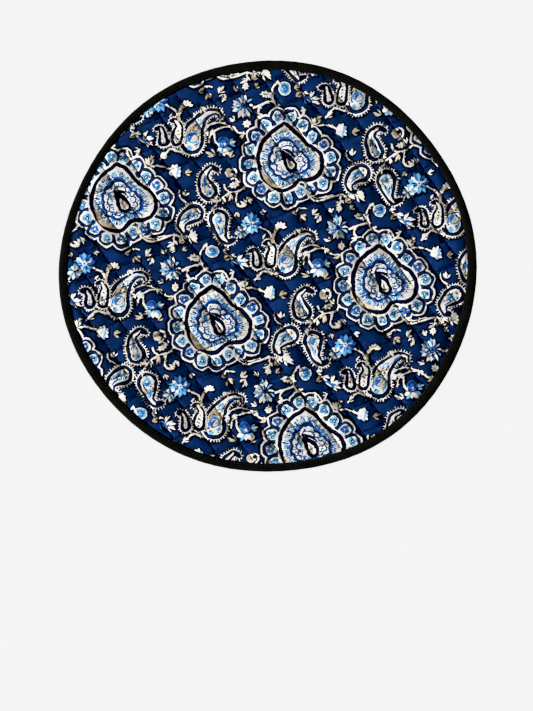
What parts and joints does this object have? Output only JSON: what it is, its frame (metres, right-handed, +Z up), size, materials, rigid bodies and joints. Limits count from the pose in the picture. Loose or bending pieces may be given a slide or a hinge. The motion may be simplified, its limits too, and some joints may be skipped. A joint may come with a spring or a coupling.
{
  "type": "round quilted fabric placemat",
  "caption": "Round quilted cotton placemat lying flat, with rhombus quilting and a folded bias binding round its edge.",
  "frame": {"origin": "on the surface that the mat lies on, under the middle of its outline's box", "axes": "+Z up out of the printed face; +X to the right and +Y away from a viewer who looks down on the mat as it is pictured"},
  "size_m": [0.3836, 0.3771, 0.0054],
  "materials": {
    "printed_cotton": "matte woven cotton, printed, dark blue ground",
    "bias_tape": "matte near-black woven cotton tape"
  },
  "bodies": {
    "root": {"quilted_panel": "printed_cotton", "edge_binding": "bias_tape"}
  },
  "joints": []
}
